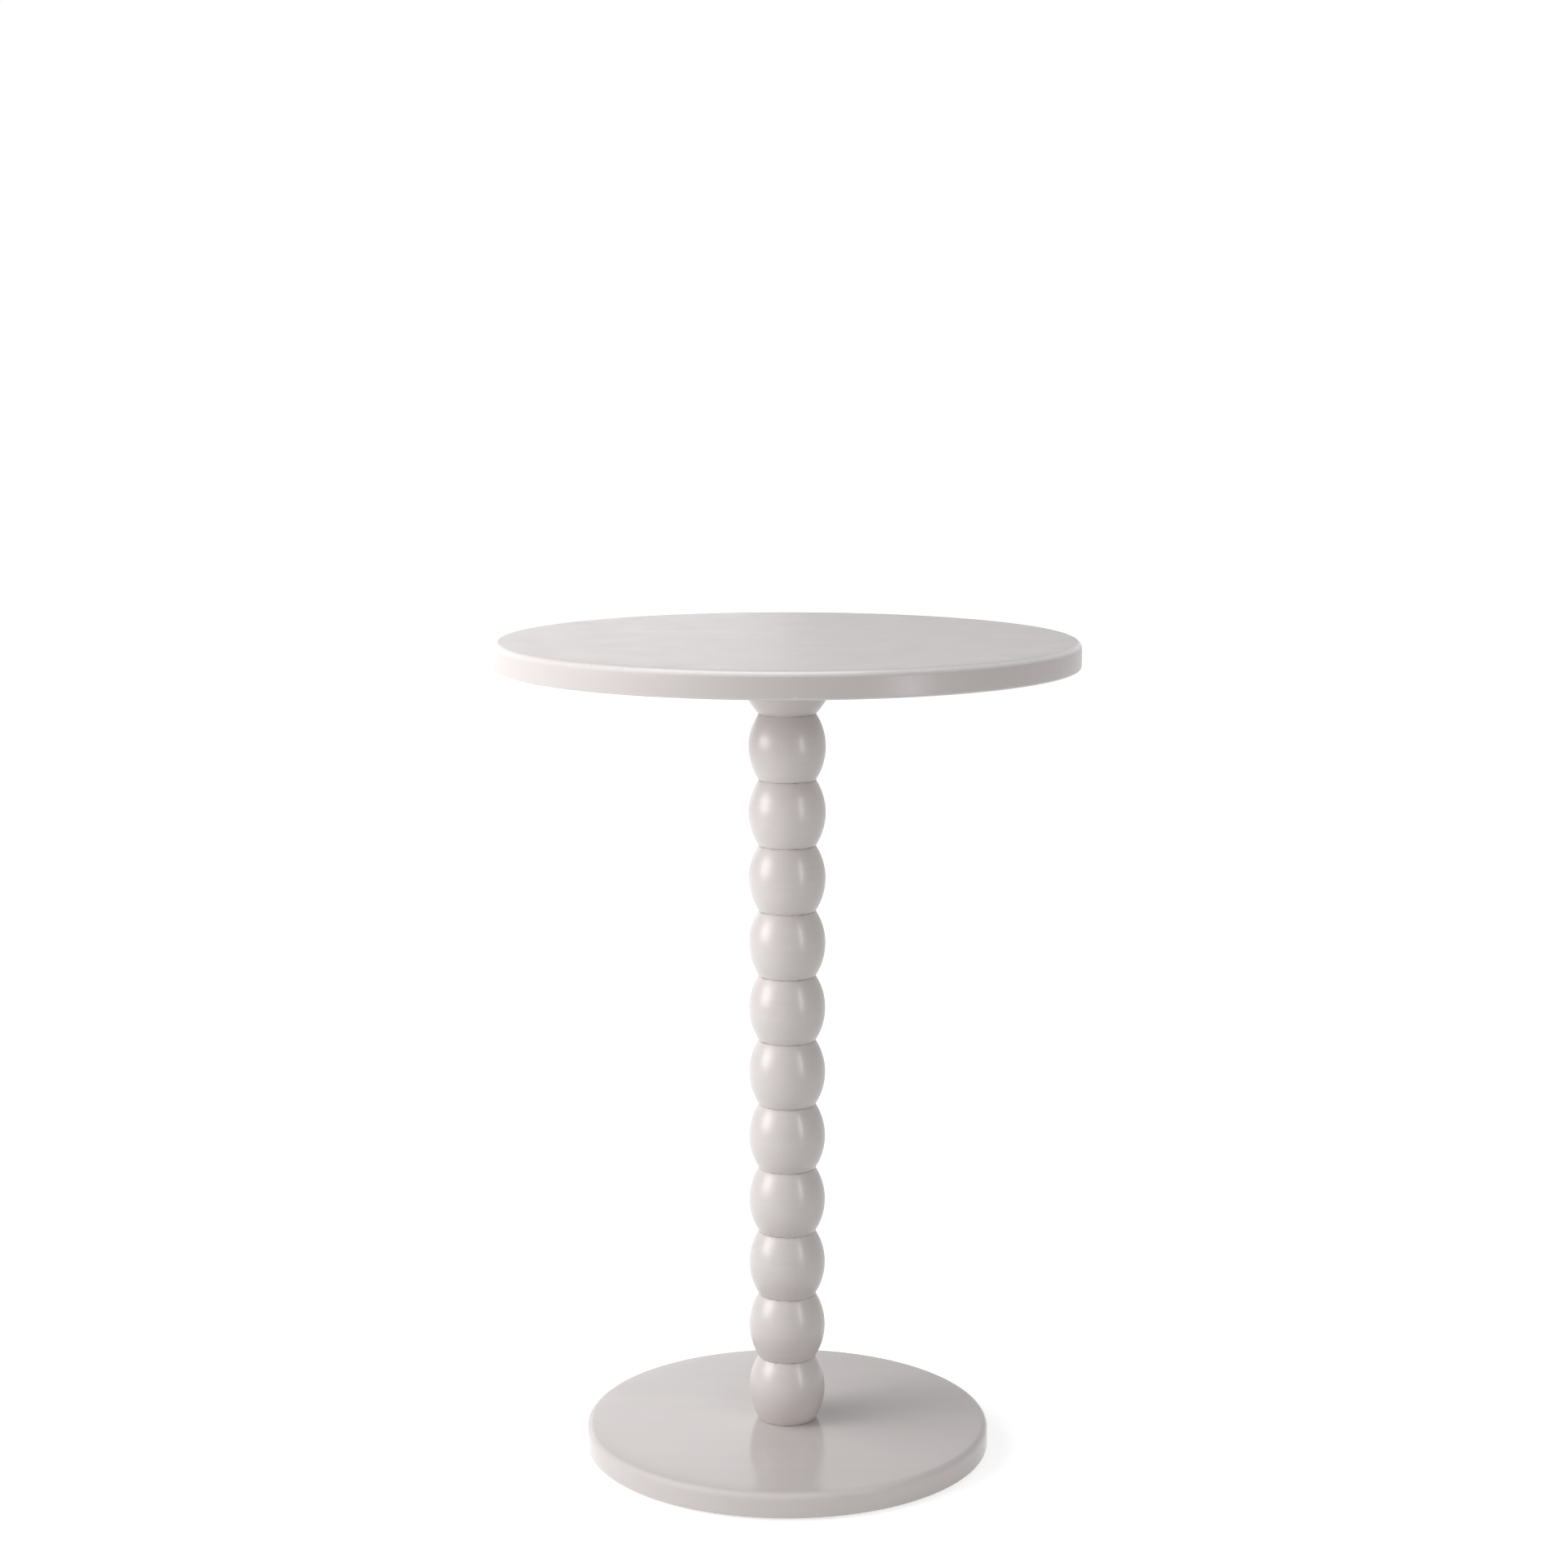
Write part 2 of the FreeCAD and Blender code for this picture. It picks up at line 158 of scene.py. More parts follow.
def lathe(name, outline, segments, shape=None, finish_of=None, edge_of=None, centre=(0, 0)):
    """Turns an outline of (radius, height) points about an upright axis into a closed mesh object.

    shape(angle, radius, height) may move a point. finish_of(radius, height) gives a face's material index,
    and edge_of(angle, radius, height) how far a point is soiled by a seam, or worn and given a painted
    highlight at an edge, from 0 to 1.
    An outline that starts and ends on the axis is closed by its two poles, and any other one joins up.
    """
    on_axis = 1e-7
    mesh = bpy.data.meshes.new(name)
    work = bmesh.new()
    edge_layer = work.verts.layers.float.new("edge")
    rings = []
    for radius, height in outline:
        ring = []
        for segment in range(segments if radius > on_axis else 1):
            angle = 2 * math.pi * segment / segments
            new_radius, new_height = shape(angle, radius, height) if shape else (radius, height)
            across, along = new_radius * math.cos(angle), new_radius * math.sin(angle)
            vertex = work.verts.new((centre[0] + across, centre[1] + along, new_height))
            vertex[edge_layer] = edge_of(angle, radius, height) if edge_of else 0.0
            ring.append(vertex)
        rings.append(ring)
    closed_by_poles = len(rings[0]) == 1
    for index in range(len(rings) - 1 if closed_by_poles else len(rings)):
        first, second = rings[index], rings[(index + 1) % len(rings)]
        middle = [(a + b) / 2 for a, b in zip(outline[index], outline[(index + 1) % len(outline)])]
        for segment in range(segments):
            after = (segment + 1) % segments
            corners = [first[segment % len(first)], first[after % len(first)]]
            corners += [second[after % len(second)], second[segment % len(second)]]
            face = work.faces.new(list(dict.fromkeys(corners)))
            face.material_index = finish_of(*middle) if finish_of else 0
    return finished_mesh(name, mesh, work)


def finished_mesh(name, mesh, work):
    """An object from a worked mesh, smooth except at its sharp corners."""
    bmesh.ops.recalc_face_normals(work, faces=work.faces)
    work.to_mesh(mesh)
    work.free()
    mesh.polygons.foreach_set("use_smooth", [True] * len(mesh.polygons))
    mesh.set_sharp_from_angle(angle=SMOOTH_ANGLE)
    piece = bpy.data.objects.new(name, mesh)
    bpy.context.scene.collection.objects.link(piece)
    return piece


def stand_for(piece, slot, *nodes):
    """Lets a piece ride on the table in place of solids; the slot argument is not used."""
    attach(piece, BODY)
    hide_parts(*nodes)


def around(angle, scale, height, seed):
    """Smooth noise from -1 to 1 that closes up round a turn."""
    return noise.noise(Vector((math.cos(angle) * scale, math.sin(angle) * scale, height + seed)))


class Graph:
    """Builds the nodes of one material."""

    def __init__(self, name):
        self.material = bpy.data.materials.new(name)
        self.material.use_nodes = True
        self.tree = self.material.node_tree
        self.surface = self.tree.nodes["Principled BSDF"]
        self.place = self.add("ShaderNodeTexCoord").outputs["Object"]

    def add(self, kind, inputs=None, **settings):
        node = self.tree.nodes.new(kind)
        for key, value in settings.items():
            setattr(node, key, value)
        for key, value in (inputs or {}).items():
            if isinstance(value, bpy.types.NodeSocket):
                self.tree.links.new(value, node.inputs[key])
            else:
                node.inputs[key].default_value = value
        return node

    def stretched(self, scale):
        """Object coordinates stretched along the axes."""
        return self.add("ShaderNodeMapping", {"Vector": self.place, "Scale": scale}).outputs["Vector"]

    def noise(self, scale, detail=2.0, roughness=0.5, vector=None):
        sockets = {"Vector": vector or self.place, "Scale": scale, "Detail": detail, "Roughness": roughness}
        return self.add("ShaderNodeTexNoise", sockets).outputs["Fac"]

    def remap(self, value, low, high, to_low=0.0, to_high=1.0):
        sockets = {"Value": value, "From Min": low, "From Max": high, "To Min": to_low, "To Max": to_high}
        return self.add("ShaderNodeMapRange", sockets).outputs["Result"]

    def blend(self, share, first, second):
        node = self.add("ShaderNodeMix", data_type="RGBA")
        for socket, value in zip([node.inputs[0], node.inputs[6], node.inputs[7]], [share, first, second]):
            if isinstance(value, bpy.types.NodeSocket):
                self.tree.links.new(value, socket)
            else:
                socket.default_value = value
        return node.outputs[2]

    def bump(self, height, strength, distance, below=None):
        sockets = {"Height": height, "Strength": strength, "Distance": distance}
        if below is not None:
            sockets["Normal"] = below
        return self.add("ShaderNodeBump", sockets).outputs["Normal"]

    def set(self, **sockets):
        """Gives the surface's sockets a value or a link. Spaces in their names are written as underscores."""
        for key, value in sockets.items():
            socket = self.surface.inputs[key.replace("_", " ")]
            if isinstance(value, bpy.types.NodeSocket):
                self.tree.links.new(value, socket)
            else:
                socket.default_value = value


PAINT_WARM = (0.638, 0.590, 0.577, 1)
PAINT_COOL = (0.624, 0.580, 0.569, 1)
PAINT_PALE = (0.668, 0.624, 0.611, 1)
# Near-white colour of rubbed edges and nicks; on the boards' edges it is also a painted highlight line.
PAINT_RUBBED_AND_HIGHLIGHT = (0.97, 0.955, 0.95, 1)
SEAM_GRIME = (0.30, 0.27, 0.255, 1)
PAINT_IOR = 1.5
PAINT_SPECULAR = 0.5
PAINT_RELIEF = 0.0015 * MM
# The least wear with its painted highlight, and the least grime, as shares of the most, and how far the shine
# of a polished edge raises its IOR.
LEAST_WEAR_AND_HIGHLIGHT = 0.8
LEAST_GRIME = 0.25
EDGE_IOR_GAIN = 0.6

WOOD_DARK = (0.30, 0.19, 0.11, 1)
WOOD_LIGHT = (0.52, 0.38, 0.25, 1)
WOOD_RELIEF = 0.2 * MM
ZINC_DARK = (0.50, 0.50, 0.49, 1)
ZINC_LIGHT = (0.66, 0.66, 0.64, 1)
ZINC_RELIEF = 0.05 * MM
FELT_DARK = (0.045, 0.043, 0.041, 1)
FELT_LIGHT = (0.13, 0.126, 0.12, 1)
FELT_TUFT = (0.16, 0.155, 0.15, 1)
FELT_RELIEF = 0.4 * MM


def paint_material(name, streak_scale, gloss, edge_gloss, grime=0.0, wear_and_highlight=0.0, edge_shine=0.0):
    """Satin sprayed paint on wood: faint clouding, orange peel, streaks that follow how the wood was worked,
    a few tiny pale nicks, grime that settles by the seams, and edges that are rubbed paler and polished,
    where the pale rubbed colour is also a painted highlight line."""
    graph = Graph(name)
    edge = graph.add("ShaderNodeAttribute", attribute_name="edge").outputs["Fac"]
    cloud = graph.noise(scale=11)
    streaks = graph.noise(scale=1.0, detail=4, roughness=0.55, vector=graph.stretched(streak_scale))
    colour = graph.blend(graph.remap(cloud, 0.25, 0.75), PAINT_COOL, PAINT_WARM)
    colour = graph.blend(graph.remap(streaks, 0.45, 0.8, 0.0, 0.5), colour, PAINT_PALE)
    # Edges rubbed paler: partly wear, and partly a painted highlight line along the rounded edges.
    if wear_and_highlight:
        patches = graph.noise(scale=170, detail=4, roughness=0.6)
        worn_and_highlit = graph.remap(patches, 0.3, 0.7, LEAST_WEAR_AND_HIGHLIGHT * wear_and_highlight, wear_and_highlight)
        worn_and_highlit = graph.add("ShaderNodeMath", {0: edge, 1: worn_and_highlit}, operation="MULTIPLY").outputs[0]
        colour = graph.blend(worn_and_highlit, colour, PAINT_RUBBED_AND_HIGHLIGHT)
    flecks = graph.add("ShaderNodeTexVoronoi", {"Vector": graph.place, "Scale": 34}).outputs["Distance"]
    colour = graph.blend(graph.remap(flecks, 0.012, 0.03, 0.3, 0.0), colour, PAINT_RUBBED_AND_HIGHLIGHT)
    if grime:
        specks = graph.noise(scale=320, detail=3, roughness=0.6)
        dark = graph.remap(specks, 0.44, 0.6, LEAST_GRIME * grime, grime)
        dark = graph.add("ShaderNodeMath", {0: edge, 1: dark}, operation="MULTIPLY").outputs[0]
        colour = graph.blend(dark, colour, SEAM_GRIME)
    rubbed_and_highlit = graph.remap(graph.noise(scale=38, detail=4, roughness=0.6), 0.3, 0.7, *gloss)
    rubbed_and_highlit = graph.remap(edge, 0.0, 1.0, rubbed_and_highlit, edge_gloss)
    peel = graph.bump(graph.noise(scale=260, detail=1), strength=1.0, distance=PAINT_RELIEF)
    worked = graph.bump(streaks, strength=1.0, distance=PAINT_RELIEF, below=peel)
    graph.set(Base_Color=colour, Roughness=rubbed_and_highlit, IOR=PAINT_IOR, Normal=worked)
    if edge_shine:
        graph.set(
            Specular_IOR_Level=graph.remap(edge, 0.0, 1.0, PAINT_SPECULAR, PAINT_SPECULAR + edge_shine),
            IOR=graph.remap(edge, 0.0, 1.0, PAINT_IOR, PAINT_IOR + EDGE_IOR_GAIN * edge_shine),
        )
    return graph.material


def bare_wood_material():
    graph = Graph("bare_wood")
    grain = graph.noise(scale=1.0, detail=5, roughness=0.6, vector=graph.stretched((35, 520, 240)))
    colour = graph.blend(graph.remap(grain, 0.3, 0.7), WOOD_DARK, WOOD_LIGHT)
    relief = graph.bump(grain, strength=0.5, distance=WOOD_RELIEF)
    graph.set(Base_Color=colour, Roughness=0.75, Normal=relief)
    return graph.material


def zinc_material():
    graph = Graph("zinc_steel")
    cloud = graph.noise(scale=120, detail=4, roughness=0.6)
    scratches = graph.noise(scale=1.0, detail=3, roughness=0.6, vector=graph.stretched((900, 140, 900)))
    colour = graph.blend(graph.remap(cloud, 0.3, 0.7), ZINC_DARK, ZINC_LIGHT)
    graph.set(
        Base_Color=colour,
        Metallic=1.0,
        Roughness=graph.remap(cloud, 0.3, 0.7, 0.28, 0.44),
        Normal=graph.bump(scratches, strength=0.15, distance=ZINC_RELIEF),
    )
    return graph.material


def felt_material():
    graph = Graph("felt")
    fibre = graph.noise(scale=1600, detail=4, roughness=0.7)
    tuft = graph.noise(scale=300, detail=3)
    colour = graph.blend(graph.remap(fibre, 0.3, 0.7), FELT_DARK, FELT_LIGHT)
    colour = graph.blend(graph.remap(tuft, 0.3, 0.7, 0.0, 0.4), colour, FELT_TUFT)
    graph.set(
        Base_Color=colour,
        Roughness=0.95,
        Sheen_Weight=0.5,
        Sheen_Roughness=0.6,
        Normal=graph.bump(fibre, strength=0.8, distance=FELT_RELIEF),
    )
    return graph.material


# Streaks run along the boards and round the turned pieces.
BOARD_STREAKS = (5, 60, 60)
TURNING_STREAKS = (14, 14, 420)
TOP_PAINT = paint_material(
    "painted_top", BOARD_STREAKS, (0.3, 0.36), edge_gloss=0.2, wear_and_highlight=1.0, edge_shine=0.5
)
BASE_PAINT = paint_material("painted_base", BOARD_STREAKS, (0.12, 0.18), edge_gloss=0.2, wear_and_highlight=0.15)
TURNED_PAINT = paint_material("painted_turning", TURNING_STREAKS, (0.285, 0.32), edge_gloss=0.35, grime=0.3)
BARE_WOOD = bare_wood_material()
ZINC = zinc_material()
FELT = felt_material()


def bead_outline(bottom, top, belly_radius):
    """The closed outline of a bead: flat seats, small seam rounds, one long arc for its side, and the bore.

    The paint fills the bottom of a seam, so its rounds stop at a slope and don't turn in to the seats."""
    height = top - bottom
    swell = belly_radius - NECK_RADIUS
    side_radius = ((height / 2) ** 2 + swell**2) / (2 * swell)
    side_centre = (belly_radius - side_radius, bottom + height / 2)
    lift = SEAM_ROUND * math.sin(SEAM_SLOPE)
    reach = math.sqrt((side_radius - SEAM_ROUND) ** 2 - (height / 2 - lift) ** 2)
    seam_radius = side_centre[0] + reach
    turn = math.atan2(height / 2 - lift, reach)
    lower = arc((seam_radius, bottom + lift), SEAM_ROUND, -SEAM_SLOPE, -turn, SEAM_STEPS)
    upper = arc((seam_radius, top - lift), SEAM_ROUND, turn, SEAM_SLOPE, SEAM_STEPS)
    outline = spread((BORE_RADIUS, bottom), lower[0], SEAT_STEPS) + lower
    outline += arc(side_centre, side_radius, -turn, turn, BEAD_SIDE_STEPS)[1:]
    outline += upper[1:] + spread(upper[-1], (BORE_RADIUS, top), SEAT_STEPS)[1:]
    outline.append((BORE_RADIUS, top))
    return outline


def make_bead(node, seed):
    bottom, top, belly_radius = box_sizes(node)
    middle = (bottom + top) / 2

    def hand_turned(angle, radius, height):
        if radius < NECK_RADIUS - 2 * SEAM_ROUND:
            return radius, height
        towards_seam = abs(height - middle) / (top - middle)
        sway = TURNING_SWAY * around(angle, SWAY_ROUND, height * SWAY_UPWARD, seed)
        ragged = max(0.0, around(angle, RAGGED_ROUND, 0, seed + RAGGED_SEED)) * towards_seam**RAGGED_FALL
        along = math.copysign(RAGGED_ALONG * ragged, middle - height)
        return radius - abs(sway) - RAGGED_INWARD * ragged, height + along

    def by_seam(angle, radius, height):
        reach = min(height - bottom, top - height)
        return max(0.0, 1 - reach / SEAM_REACH) ** 2

    outline = bead_outline(bottom, top, belly_radius)
    piece = lathe(f"{node}_turned", outline, BEAD_SEGMENTS, hand_turned, edge_of=by_seam)
    piece.data.materials.append(TURNED_PAINT)
    stand_for(piece, "painted_wood", node)
    return piece


def make_collar():
    bottom, top, rim_radius = box_sizes("collar")
    recess_floor = top - PLATE_RECESS
    boss_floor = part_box("top_plate")[0].z - PLATE_GAP
    height = top - bottom
    flare = rim_radius - NECK_RADIUS
    side_radius = (height**2 + flare**2) / (2 * flare)
    side_centre = (rim_radius - side_radius, top)
    lift = SEAM_ROUND * math.sin(SEAM_SLOPE)
    reach = math.sqrt((side_radius - SEAM_ROUND) ** 2 - (height - lift) ** 2)
    turn = math.atan2(height - lift, reach)
    seam = arc((side_centre[0] + reach, bottom + lift), SEAM_ROUND, -SEAM_SLOPE, -turn, SEAM_STEPS)
    outline = spread((BORE_RADIUS, bottom), seam[0], SEAT_STEPS) + seam
    outline += arc(side_centre, side_radius, -turn, 0, COLLAR_SIDE_STEPS)[1:]
    outline += [
        (rim_radius - COLLAR_RIM, top),
        (rim_radius - COLLAR_RIM, recess_floor),
        (BOSS_HOLE_RADIUS, recess_floor),
        (BOSS_HOLE_RADIUS, boss_floor),
        (BORE_RADIUS, boss_floor),
    ]

    def by_seam(angle, radius, point_height):
        return max(0.0, 1 - (point_height - bottom) / SEAM_REACH) ** 2

    piece = lathe("collar_turned", outline, BEAD_SEGMENTS, edge_of=by_seam)
    piece.data.materials.append(TURNED_PAINT)
    stand_for(piece, "painted_wood", "collar")
    return piece


# The boards' edges are rubbed paler all round, which is also a painted highlight line, but least at the front
# left, as in the photo.
LEAST_RUBBED_AND_HIGHLIT = math.radians(-142)
LEFT_SPARED = 0.75
LEFT_SPARED_FALL = 6
LOWER_EDGE_SHARE = 0.3


def board_edge(bottom, top, radius):
    """The rounded edge of a board, from its underside up and over to its top face."""
    lower_centre = (radius - BOARD_LOWER_ROUND, bottom + BOARD_LOWER_ROUND)
    upper_centre = (radius - BOARD_UPPER_ROUND, top - BOARD_UPPER_ROUND)
    lower = arc(lower_centre, BOARD_LOWER_ROUND, -QUARTER_TURN, 0, BOARD_LOWER_STEPS)
    upper = arc(upper_centre, BOARD_UPPER_ROUND, 0, QUARTER_TURN, BOARD_UPPER_STEPS)
    return lower + upper


def board_edges(bottom, top, radius):
    """A function that tells how far a board is rubbed and given a painted highlight: most along the middle of
    its rounded edges.
    """

    def edge_of(angle, point_radius, height):
        towards_left = max(0.0, math.cos(angle - LEAST_RUBBED_AND_HIGHLIT))
        rubbed_and_highlit = 1 - LEFT_SPARED * towards_left**LEFT_SPARED_FALL
        out = point_radius - radius
        upper = (out + BOARD_UPPER_ROUND, height - top + BOARD_UPPER_ROUND, 1.0)
        lower = (out + BOARD_LOWER_ROUND, bottom + BOARD_LOWER_ROUND - height, LOWER_EDGE_SHARE)
        for across, along, share in (upper, lower):
            if across >= 0 and along >= 0:
                return rubbed_and_highlit * share * math.sin(2 * math.atan2(along, across)) ** 2
        return 0.0

    return edge_of


def make_table_top():
    bottom, top, radius = box_sizes("table_top")
    outline = spread((0, bottom), (radius - BOARD_LOWER_ROUND, bottom), TOP_RINGS)
    outline += board_edge(bottom, top, radius)
    outline += spread((radius - BOARD_UPPER_ROUND, top), (0, top), TOP_RINGS)[1:]
    outline.append((0, top))
    piece = lathe("table_top_board", outline, BOARD_SEGMENTS, edge_of=board_edges(bottom, top, radius))
    piece.data.materials.append(TOP_PAINT)
    stand_for(piece, "painted_wood", "table_top")
    return piece


def make_base():
    bottom, top, radius = box_sizes("base")
    washer_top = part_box("base_washer")[1].z
    outline = [(BORE_RADIUS, washer_top), (COUNTERBORE_RADIUS, washer_top), (COUNTERBORE_RADIUS, bottom)]
    outline += spread((COUNTERBORE_RADIUS, bottom), (radius - BOARD_LOWER_ROUND, bottom), BASE_RINGS)[1:]
    outline += board_edge(bottom, top, radius)
    outline += spread((radius - BOARD_UPPER_ROUND, top), (BORE_RADIUS, top), BASE_RINGS)[1:]
    outline.append((BORE_RADIUS, top))

    def bare_inside(face_radius, face_height):
        return 1 if face_radius <= COUNTERBORE_RADIUS and bottom < face_height < top else 0

    edges = board_edges(bottom, top, radius)
    piece = lathe("base_board", outline, BOARD_SEGMENTS, finish_of=bare_inside, edge_of=edges)
    piece.data.materials.append(BASE_PAINT)
    piece.data.materials.append(BARE_WOOD)
    stand_for(piece, "painted_wood", "base")
    return piece


def make_washer():
    bottom, top, radius = box_sizes("base_washer")
    lower_centre = (radius - WASHER_EDGE, bottom + WASHER_EDGE)
    upper_centre = (radius - WASHER_EDGE, top - WASHER_EDGE)
    outline = [(ROD_HOLE_RADIUS, bottom), (radius - WASHER_EDGE, bottom)]
    outline += arc(lower_centre, WASHER_EDGE, -QUARTER_TURN, 0, WASHER_EDGE_STEPS)[1:]
    outline += arc(upper_centre, WASHER_EDGE, 0, QUARTER_TURN, WASHER_EDGE_STEPS)
    outline.append((ROD_HOLE_RADIUS, top))
    piece = lathe("base_washer_stamped", outline, STEEL_SEGMENTS)
    piece.data.materials.append(ZINC)
    stand_for(piece, "zinc_steel", "base_washer")


def make_lock_washer():
    """A split spring washer, pressed flat, whose slit is cut on the slant."""
    bottom, top, radius = box_sizes("lock_washer")
    section = [
        (ROD_HOLE_RADIUS, bottom),
        (radius - LOCK_WASHER_EASE, bottom),
        (radius, bottom + LOCK_WASHER_EASE),
        (radius, top - LOCK_WASHER_EASE),
        (radius - LOCK_WASHER_EASE, top),
        (ROD_HOLE_RADIUS, top),
    ]
    mesh = bpy.data.meshes.new("lock_washer_split")
    work = bmesh.new()
    gap = LOCK_WASHER_SLIT / radius
    rings = []
    for step in range(STEEL_SEGMENTS + 1):
        ring = []
        for point_radius, height in section:
            slant = (height - (bottom + top) / 2) * LOCK_WASHER_SLANT / radius
            angle = gap / 2 + (2 * math.pi - gap) * step / STEEL_SEGMENTS + slant
            across, along = point_radius * math.cos(angle), point_radius * math.sin(angle)
            ring.append(work.verts.new((across, along, height)))
        rings.append(ring)
    for first, second in zip(rings, rings[1:]):
        for index in range(len(section)):
            after = (index + 1) % len(section)
            work.faces.new([first[index], first[after], second[after], second[index]])
    work.faces.new(rings[0])
    work.faces.new(rings[-1])
    piece = finished_mesh("lock_washer_split", mesh, work)
    piece.data.materials.append(ZINC)
    stand_for(piece, "zinc_steel", "lock_washer")


def make_nut():
    """A thin hexagon nut with turned corners and a countersunk thread."""
    low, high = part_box("base_nut")
    flat, corner = sorted([(high.x - low.x) / 2, (high.y - low.y) / 2])
    face_radius = NUT_FACE_SHARE * flat
    drop = (corner - face_radius) * NUT_CHAMFER_SLOPE
    bore = NUT_BORE_RADIUS
    outline = [(bore, low.z + NUT_SINK), (bore + NUT_SINK, low.z)]
    outline += spread((face_radius, low.z), (corner, low.z + drop), NUT_CHAMFER_STEPS)
    outline += spread((corner, low.z + drop), (corner, high.z - drop), NUT_SIDE_STEPS)
    outline += spread((corner, high.z - drop), (face_radius, high.z), NUT_CHAMFER_STEPS)
    outline += [(face_radius, high.z), (bore + NUT_SINK, high.z), (bore, high.z - NUT_SINK)]

    def hexagon(angle, radius, height):
        off_flat = angle % (math.pi / 3) - math.pi / 6
        return min(radius, flat / math.cos(off_flat)), height

    piece = lathe("base_nut_hexagon", outline, STEEL_SEGMENTS, hexagon)
    piece.data.materials.append(ZINC)
    stand_for(piece, "zinc_steel", "base_nut")


def make_rod():
    """The tie rod, with a cut thread at both ends."""
    bottom, top, radius = box_sizes("tie_rod")
    rings = round(THREADED_END / THREAD_PITCH * RINGS_PER_PITCH)
    lower_end, upper_end = bottom + THREADED_END, top - THREADED_END
    outline = [(0, bottom), (radius - ROD_END_CHAMFER, bottom)]
    outline += spread((radius, bottom + ROD_END_CHAMFER), (radius, lower_end), rings)
    outline += spread((radius, lower_end), (radius, upper_end), ROD_STEPS)
    outline += spread((radius, upper_end), (radius, top - ROD_END_CHAMFER), rings)
    outline += [(radius, top - ROD_END_CHAMFER), (radius - ROD_END_CHAMFER, top), (0, top)]

    def threaded(angle, point_radius, height):
        if point_radius < radius or lower_end <= height <= upper_end:
            return point_radius, height
        phase = (height / THREAD_PITCH - angle / (2 * math.pi)) % 1
        return point_radius - THREAD_DEPTH * abs(2 * phase - 1), height

    piece = lathe("tie_rod_threaded", outline, STEEL_SEGMENTS // 2, threaded)
    piece.data.materials.append(ZINC)
    stand_for(piece, "zinc_steel", "tie_rod")


def make_felt_pad(node, seed):
    """A cut felt disc: slightly crowned at its edge, uneven round its rim and flat on the floor."""
    low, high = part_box(node)
    centre = ((low.x + high.x) / 2, (low.y + high.y) / 2)
    radius = (high.x - low.x) / 2
    thickness = high.z - low.z
    rim = [
        (radius - PAD_FOOT, low.z),
        (radius - PAD_LOW, low.z + thickness / 4),
        (radius, low.z + thickness / 2),
        (radius - PAD_HIGH, low.z + 3 * thickness / 4),
        (radius - PAD_HEAD, high.z),
    ]
    outline = spread((0, low.z), rim[0], PAD_LOWER_RINGS) + rim
    outline += spread(rim[-1], (0, high.z), PAD_UPPER_RINGS)[1:]
    outline.append((0, high.z))

    def fuzzy(angle, point_radius, height):
        share = point_radius / radius
        uneven = abs(around(angle, PAD_RAGGED_ROUND, height * PAD_RAGGED_UPWARD, seed))
        ragged = PAD_RAGGED * share**PAD_RAGGED_FALL * uneven
        hollow = abs(noise.noise(Vector((angle * PAD_LIFT_ROUND, point_radius * PAD_LIFT_OUTWARD, seed))))
        lift = PAD_LIFT * hollow
        return point_radius - ragged, height + (lift if height == low.z and share < PAD_FLAT_SHARE else 0)

    piece = lathe(f"{node}_felt", outline, PAD_SEGMENTS, fuzzy, centre=centre)
    piece.data.materials.append(FELT)
    stand_for(piece, "felt", node)


def finish_solids():
    """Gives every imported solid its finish, the ones that a detailed piece stands for too."""
    for node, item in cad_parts.items():
        finish = ZINC
        if node == "table_top":
            finish = TOP_PAINT
        elif node == "base":
            finish = BASE_PAINT
        elif node.startswith(("bead", "collar")):
            finish = TURNED_PAINT
        elif node.startswith("felt"):
            finish = FELT
        item.data.materials.clear()
        item.data.materials.append(finish)


def make_camera():
    camera = bpy.data.objects.new("camera", bpy.data.cameras.new("camera"))
    camera.data.lens = CAMERA_LENS_MM
    camera.data.sensor_width = CAMERA_SENSOR_MM
    camera.location = CAMERA_PLACE
    camera.rotation_euler = Euler((math.radians(90 - CAMERA_DOWNWARD_DEGREES), 0, 0))
    bpy.context.scene.collection.objects.link(camera)
    bpy.context.scene.camera = camera


def seen_by_eye(tree):
    """A value of 1 for rays that show the background: camera, glossy and transmitted ones."""
    path = tree.nodes.new("ShaderNodeLightPath")
    total = path.outputs["Is Camera Ray"]
    for name in ("Is Glossy Ray", "Is Transmission Ray"):
        either = tree.nodes.new("ShaderNodeMath")
        either.operation = "MAXIMUM"
        tree.links.new(total, either.inputs[0])
        tree.links.new(path.outputs[name], either.inputs[1])
        total = either.outputs[0]
    return total


AMBIENT = 0.15


def make_world():
    """Even soft light from all round, seen as white."""
    world = bpy.data.worlds.new("studio")
    world.use_nodes = True
    bpy.context.scene.world = world
    tree = world.node_tree
    light = tree.nodes["Background"]
    light.inputs["Color"].default_value = (1, 1, 1, 1)
    light.inputs["Strength"].default_value = AMBIENT
    white = tree.nodes.new("ShaderNodeBackground")
    white.inputs["Color"].default_value = (1, 1, 1, 1)
    white.inputs["Strength"].default_value = 1.0
    choose = tree.nodes.new("ShaderNodeMixShader")
    tree.links.new(seen_by_eye(tree), choose.inputs["Fac"])
    tree.links.new(light.outputs[0], choose.inputs[1])
    tree.links.new(white.outputs[0], choose.inputs[2])
    tree.links.new(choose.outputs[0], tree.nodes["World Output"].inputs["Surface"])


FLOOR_WHITE = (0.86, 0.86, 0.86, 1)
FLOOR_RADIUS = 6.0
FLOOR_NEAR = 0.25
FLOOR_FAR = 1.3
FLOOR_GLOW_NEAR = 0.66
FLOOR_GLOW_FAR = 1.0


